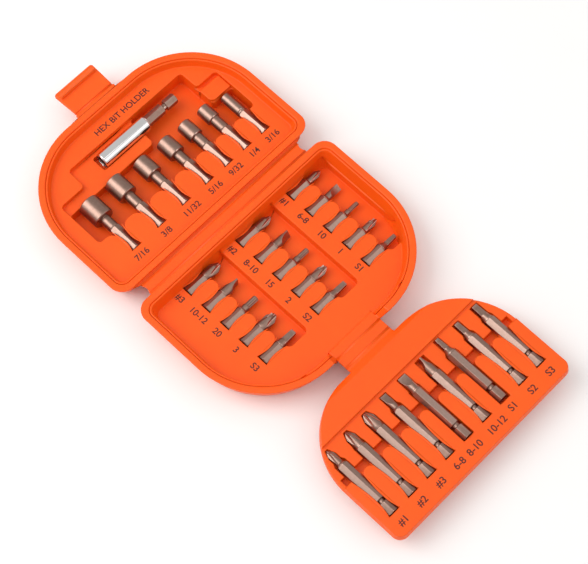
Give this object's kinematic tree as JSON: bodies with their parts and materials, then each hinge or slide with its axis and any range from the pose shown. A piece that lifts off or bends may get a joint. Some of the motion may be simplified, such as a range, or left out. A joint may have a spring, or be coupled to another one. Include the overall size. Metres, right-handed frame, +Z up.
{
  "type": "folding driver bit case",
  "caption": "Folding three-panel plastic case with living hinges and a snap latch, holding hex driver bits, nut setters and a magnetic bit holder.",
  "frame": {"origin": "middle of the base panel's flat underside", "axes": "+X from the lid to the flap, across the fold lines; +Y along the fold lines; +Z up, out of the open trays"},
  "size_m": [0.3352, 0.156, 0.0215],
  "materials": {
    "polypropylene": "moulded satin polypropylene",
    "tool_steel": "tumbled, oiled tool steel",
    "chrome": "polished chrome plate",
    "magnet": "ground ferrite",
    "spring_steel": "bright spring steel"
  },
  "bodies": {
    "base": {"base_shell": "polypropylene", "base_tray": "polypropylene", "hinge_film_base": "polypropylene", "hinge_film_neck": "polypropylene"},
    "lid_spine": {"lid_hinge_spine": "polypropylene"},
    "lid": {"lid_shell": "polypropylene", "lid_tray": "polypropylene", "hinge_film_lid": "polypropylene", "hinge_film_latch": "polypropylene"},
    "neck": {"neck_spine": "polypropylene"},
    "flap": {"flap_panel": "polypropylene", "hinge_film_flap": "polypropylene"},
    "latch": {"latch_tab": "polypropylene"},
    "bit_holder": {"holder_shank": "tool_steel", "holder_sleeve": "chrome", "holder_magnet": "magnet", "holder_retaining_ring": "spring_steel"},
    "insert_bit_cross_1": {"insert_bit_cross_1": "tool_steel"},
    "insert_bit_cross_2": {"insert_bit_cross_2": "tool_steel"},
    "insert_bit_cross_3": {"insert_bit_cross_3": "tool_steel"},
    "insert_bit_ribbed_cross_1": {"insert_bit_ribbed_cross_1": "tool_steel"},
    "insert_bit_ribbed_cross_2": {"insert_bit_ribbed_cross_2": "tool_steel"},
    "insert_bit_ribbed_cross_3": {"insert_bit_ribbed_cross_3": "tool_steel"},
    "insert_bit_slotted_10_12": {"insert_bit_slotted_10_12": "tool_steel"},
    "insert_bit_slotted_6_8": {"insert_bit_slotted_6_8": "tool_steel"},
    "insert_bit_slotted_8_10": {"insert_bit_slotted_8_10": "tool_steel"},
    "insert_bit_square_1": {"insert_bit_square_1": "tool_steel"},
    "insert_bit_square_2": {"insert_bit_square_2": "tool_steel"},
    "insert_bit_square_3": {"insert_bit_square_3": "tool_steel"},
    "insert_bit_star_10": {"insert_bit_star_10": "tool_steel"},
    "insert_bit_star_15": {"insert_bit_star_15": "tool_steel"},
    "insert_bit_star_20": {"insert_bit_star_20": "tool_steel"},
    "power_bit_cross_1": {"power_bit_cross_1": "tool_steel"},
    "power_bit_cross_2": {"power_bit_cross_2": "tool_steel"},
    "power_bit_cross_3": {"power_bit_cross_3": "tool_steel"},
    "power_bit_slotted_10_12": {"power_bit_slotted_10_12": "tool_steel"},
    "power_bit_slotted_6_8": {"power_bit_slotted_6_8": "tool_steel"},
    "power_bit_slotted_8_10": {"power_bit_slotted_8_10": "tool_steel"},
    "power_bit_square_1": {"power_bit_square_1": "tool_steel"},
    "power_bit_square_2": {"power_bit_square_2": "tool_steel"},
    "power_bit_square_3": {"power_bit_square_3": "tool_steel"},
    "nut_setter_11_32": {"nut_setter_11_32": "tool_steel"},
    "nut_setter_1_4": {"nut_setter_1_4": "tool_steel"},
    "nut_setter_3_16": {"nut_setter_3_16": "tool_steel"},
    "nut_setter_3_8": {"nut_setter_3_8": "tool_steel"},
    "nut_setter_5_16": {"nut_setter_5_16": "tool_steel"},
    "nut_setter_7_16": {"nut_setter_7_16": "tool_steel"},
    "nut_setter_9_32": {"nut_setter_9_32": "tool_steel"}
  },
  "joints": [
    {"name": "lid_spine_fold", "type": "hinge", "parent": "base", "child": "lid_spine", "pos_m": [-0.05375, 0, 0.01665], "axis": [0, 1, 0], "range_deg": [0, 90], "deforming": ["hinge_film_base"]},
    {"name": "lid_fold", "type": "hinge", "parent": "lid_spine", "child": "lid", "pos_m": [-0.06075, 0, 0.01665], "axis": [0, 1, 0], "range_deg": [0, 90], "deforming": ["hinge_film_lid"]},
    {"name": "neck_fold", "type": "hinge", "parent": "base", "child": "neck", "pos_m": [0.04985, 0, 0.01225], "axis": [0, -1, 0], "range_deg": [0, 90], "deforming": ["hinge_film_neck"]},
    {"name": "flap_fold", "type": "hinge", "parent": "neck", "child": "flap", "pos_m": [0.05685, 0, 0.01225], "axis": [0, -1, 0], "range_deg": [0, 90], "deforming": ["hinge_film_flap"]},
    {"name": "latch_fold", "type": "hinge", "parent": "lid", "child": "latch", "pos_m": [-0.16755, 0, 0.0193], "axis": [0, 1, 0], "range_deg": [0, 94], "deforming": ["hinge_film_latch"]},
    {"name": "lift_bit_holder", "type": "slide", "parent": "lid", "child": "bit_holder", "axis": [0, 0, -1], "range_m": [-0.02, 0]},
    {"name": "lift_nut_setter_11_32", "type": "slide", "parent": "lid", "child": "nut_setter_11_32", "axis": [0, 0, -1], "range_m": [-0.02, 0]},
    {"name": "lift_nut_setter_1_4", "type": "slide", "parent": "lid", "child": "nut_setter_1_4", "axis": [0, 0, -1], "range_m": [-0.02, 0]},
    {"name": "lift_nut_setter_3_16", "type": "slide", "parent": "lid", "child": "nut_setter_3_16", "axis": [0, 0, -1], "range_m": [-0.02, 0]},
    {"name": "lift_nut_setter_3_8", "type": "slide", "parent": "lid", "child": "nut_setter_3_8", "axis": [0, 0, -1], "range_m": [-0.02, 0]},
    {"name": "lift_nut_setter_5_16", "type": "slide", "parent": "lid", "child": "nut_setter_5_16", "axis": [0, 0, -1], "range_m": [-0.02, 0]},
    {"name": "lift_nut_setter_7_16", "type": "slide", "parent": "lid", "child": "nut_setter_7_16", "axis": [0, 0, -1], "range_m": [-0.02, 0]},
    {"name": "lift_nut_setter_9_32", "type": "slide", "parent": "lid", "child": "nut_setter_9_32", "axis": [0, 0, -1], "range_m": [-0.02, 0]},
    {"name": "lift_insert_bit_cross_1", "type": "slide", "parent": "base", "child": "insert_bit_cross_1", "axis": [0, 0, -1], "range_m": [-0.02, 0]},
    {"name": "lift_insert_bit_cross_2", "type": "slide", "parent": "base", "child": "insert_bit_cross_2", "axis": [0, 0, -1], "range_m": [-0.02, 0]},
    {"name": "lift_insert_bit_cross_3", "type": "slide", "parent": "base", "child": "insert_bit_cross_3", "axis": [0, 0, -1], "range_m": [-0.02, 0]},
    {"name": "lift_insert_bit_ribbed_cross_1", "type": "slide", "parent": "base", "child": "insert_bit_ribbed_cross_1", "axis": [0, 0, -1], "range_m": [-0.02, 0]},
    {"name": "lift_insert_bit_ribbed_cross_2", "type": "slide", "parent": "base", "child": "insert_bit_ribbed_cross_2", "axis": [0, 0, -1], "range_m": [-0.02, 0]},
    {"name": "lift_insert_bit_ribbed_cross_3", "type": "slide", "parent": "base", "child": "insert_bit_ribbed_cross_3", "axis": [0, 0, -1], "range_m": [-0.02, 0]},
    {"name": "lift_insert_bit_slotted_10_12", "type": "slide", "parent": "base", "child": "insert_bit_slotted_10_12", "axis": [0, 0, -1], "range_m": [-0.02, 0]},
    {"name": "lift_insert_bit_slotted_6_8", "type": "slide", "parent": "base", "child": "insert_bit_slotted_6_8", "axis": [0, 0, -1], "range_m": [-0.02, 0]},
    {"name": "lift_insert_bit_slotted_8_10", "type": "slide", "parent": "base", "child": "insert_bit_slotted_8_10", "axis": [0, 0, -1], "range_m": [-0.02, 0]},
    {"name": "lift_insert_bit_square_1", "type": "slide", "parent": "base", "child": "insert_bit_square_1", "axis": [0, 0, -1], "range_m": [-0.02, 0]},
    {"name": "lift_insert_bit_square_2", "type": "slide", "parent": "base", "child": "insert_bit_square_2", "axis": [0, 0, -1], "range_m": [-0.02, 0]},
    {"name": "lift_insert_bit_square_3", "type": "slide", "parent": "base", "child": "insert_bit_square_3", "axis": [0, 0, -1], "range_m": [-0.02, 0]},
    {"name": "lift_insert_bit_star_10", "type": "slide", "parent": "base", "child": "insert_bit_star_10", "axis": [0, 0, -1], "range_m": [-0.02, 0]},
    {"name": "lift_insert_bit_star_15", "type": "slide", "parent": "base", "child": "insert_bit_star_15", "axis": [0, 0, -1], "range_m": [-0.02, 0]},
    {"name": "lift_insert_bit_star_20", "type": "slide", "parent": "base", "child": "insert_bit_star_20", "axis": [0, 0, -1], "range_m": [-0.02, 0]},
    {"name": "lift_power_bit_cross_1", "type": "slide", "parent": "flap", "child": "power_bit_cross_1", "axis": [0, 0, -1], "range_m": [-0.02, 0]},
    {"name": "lift_power_bit_cross_2", "type": "slide", "parent": "flap", "child": "power_bit_cross_2", "axis": [0, 0, -1], "range_m": [-0.02, 0]},
    {"name": "lift_power_bit_cross_3", "type": "slide", "parent": "flap", "child": "power_bit_cross_3", "axis": [0, 0, -1], "range_m": [-0.02, 0]},
    {"name": "lift_power_bit_slotted_10_12", "type": "slide", "parent": "flap", "child": "power_bit_slotted_10_12", "axis": [0, 0, -1], "range_m": [-0.02, 0]},
    {"name": "lift_power_bit_slotted_6_8", "type": "slide", "parent": "flap", "child": "power_bit_slotted_6_8", "axis": [0, 0, -1], "range_m": [-0.02, 0]},
    {"name": "lift_power_bit_slotted_8_10", "type": "slide", "parent": "flap", "child": "power_bit_slotted_8_10", "axis": [0, 0, -1], "range_m": [-0.02, 0]},
    {"name": "lift_power_bit_square_1", "type": "slide", "parent": "flap", "child": "power_bit_square_1", "axis": [0, 0, -1], "range_m": [-0.02, 0]},
    {"name": "lift_power_bit_square_2", "type": "slide", "parent": "flap", "child": "power_bit_square_2", "axis": [0, 0, -1], "range_m": [-0.02, 0]},
    {"name": "lift_power_bit_square_3", "type": "slide", "parent": "flap", "child": "power_bit_square_3", "axis": [0, 0, -1], "range_m": [-0.02, 0]}
  ],
  "couplings": [
    {"joint": "lid_fold", "follows": "lid_spine_fold", "ratio": 1},
    {"joint": "flap_fold", "follows": "neck_fold", "ratio": 1}
  ]
}
